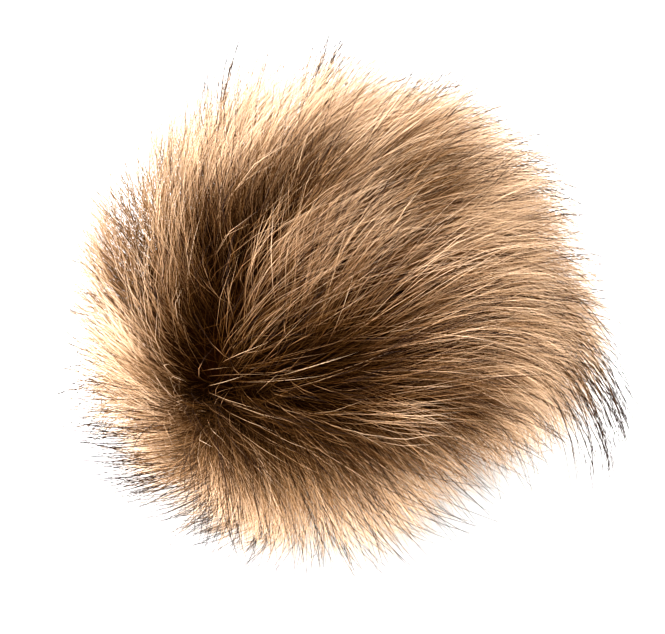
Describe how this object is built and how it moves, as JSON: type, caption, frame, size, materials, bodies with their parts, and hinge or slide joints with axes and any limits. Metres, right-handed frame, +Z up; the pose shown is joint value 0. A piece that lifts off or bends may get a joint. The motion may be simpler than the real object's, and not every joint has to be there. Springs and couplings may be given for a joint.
{
  "type": "fur pom pom",
  "caption": "Round stuffed pom pom of long combed fur that parts at one side and lies over the crown; trims hats, bags and cushions.",
  "frame": {"origin": "middle of the flat spot under the ball, on the surface that it rests on", "axes": "+Z up; the pile parts at the gathered point, low on the front left (between -X and -Y), and is combed over the crown and down the far side"},
  "size_m": [0.133, 0.1217, 0.1056],
  "materials": {
    "long_pile_fur": "soft combed fur pile, dark brown at the root, tan to pale gold at the tip, with near-black tips on the longest hairs"
  },
  "bodies": {
    "root": {"fur_ball": "long_pile_fur"}
  },
  "joints": []
}
